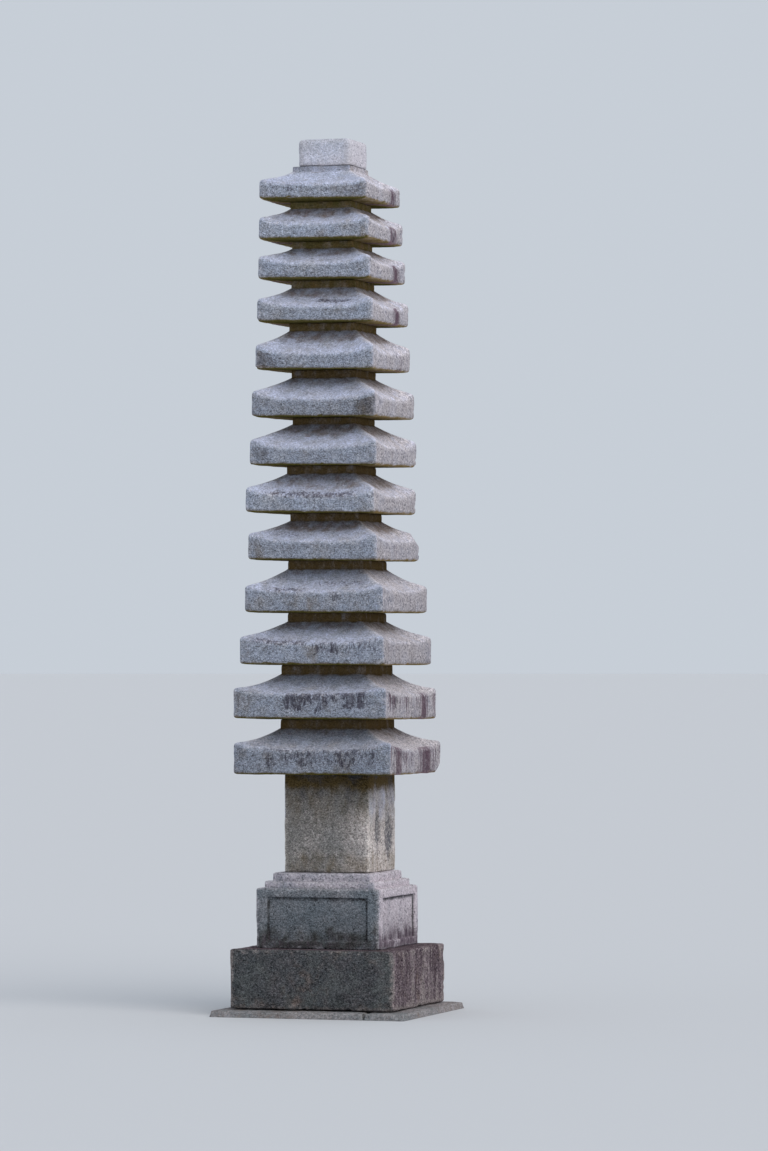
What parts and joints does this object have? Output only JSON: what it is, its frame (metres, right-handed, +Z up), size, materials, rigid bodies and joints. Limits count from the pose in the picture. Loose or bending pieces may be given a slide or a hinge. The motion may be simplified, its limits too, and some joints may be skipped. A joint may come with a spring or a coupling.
{
  "type": "stone garden pagoda",
  "caption": "Tall slim stone garden pagoda: stacked square roofs with thick eaves on a plain shaft, panelled base, plinth and kerb footing; its finial is missing.",
  "frame": {"origin": "on the ground under the middle of the footing", "axes": "+Z up the tower; -Y is the front, the wide face in the picture; +X is to the right of someone facing the front"},
  "size_m": [0.97, 0.97, 4.184],
  "materials": {
    "footing_granite": "rough, damp, half buried",
    "plinth_granite": "rough, dark with lichen and drip stains",
    "base_granite": "rough, pale, moss at its foot",
    "body_granite": "rough, pale with ochre and dark stains",
    "roof_granite": "rough, weathered, salt and pepper grain",
    "finial_base_granite": "rough, pale, worn edges"
  },
  "bodies": {
    "root": {"kerb_front": "footing_granite", "kerb_right": "footing_granite", "kerb_back": "footing_granite", "kerb_left": "footing_granite", "plinth": "plinth_granite", "base_stone": "base_granite", "first_storey_body": "body_granite", "roof_01": "roof_granite", "roof_02": "roof_granite", "roof_03": "roof_granite", "roof_04": "roof_granite", "roof_05": "roof_granite", "roof_06": "roof_granite", "roof_07": "roof_granite", "roof_08": "roof_granite", "roof_09": "roof_granite", "roof_10": "roof_granite", "roof_11": "roof_granite", "roof_12": "roof_granite", "roof_13": "roof_granite", "finial_base": "finial_base_granite"}
  },
  "joints": []
}
